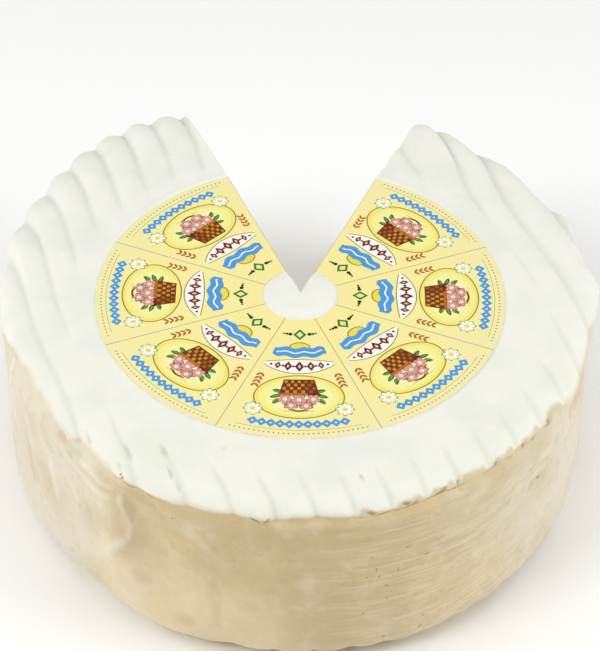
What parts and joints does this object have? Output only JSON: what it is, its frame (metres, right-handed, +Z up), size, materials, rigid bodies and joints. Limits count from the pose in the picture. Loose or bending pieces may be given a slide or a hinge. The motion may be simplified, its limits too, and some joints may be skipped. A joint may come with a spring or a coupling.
{
  "type": "goat brie",
  "caption": "Soft white-rinded goat cheese wheel with a wedge cut out, its top and base grooved by a ripening rack, under a round printed paper label.",
  "frame": {"origin": "on the base, under the middle of the wheel's bounding box", "axes": "+Z up through the wheel's two flat faces; the missing wedge opens towards +Y, and the side seen in front in the picture faces -Y"},
  "size_m": [0.1762, 0.1824, 0.0631],
  "materials": {
    "cheese": "soft, dry, velvety white mould rind over a moist ivory paste",
    "label": "thin printed paper with a slight sheen"
  },
  "bodies": {
    "root": {"cheese_wheel": "cheese", "paper_label": "label"}
  },
  "joints": []
}
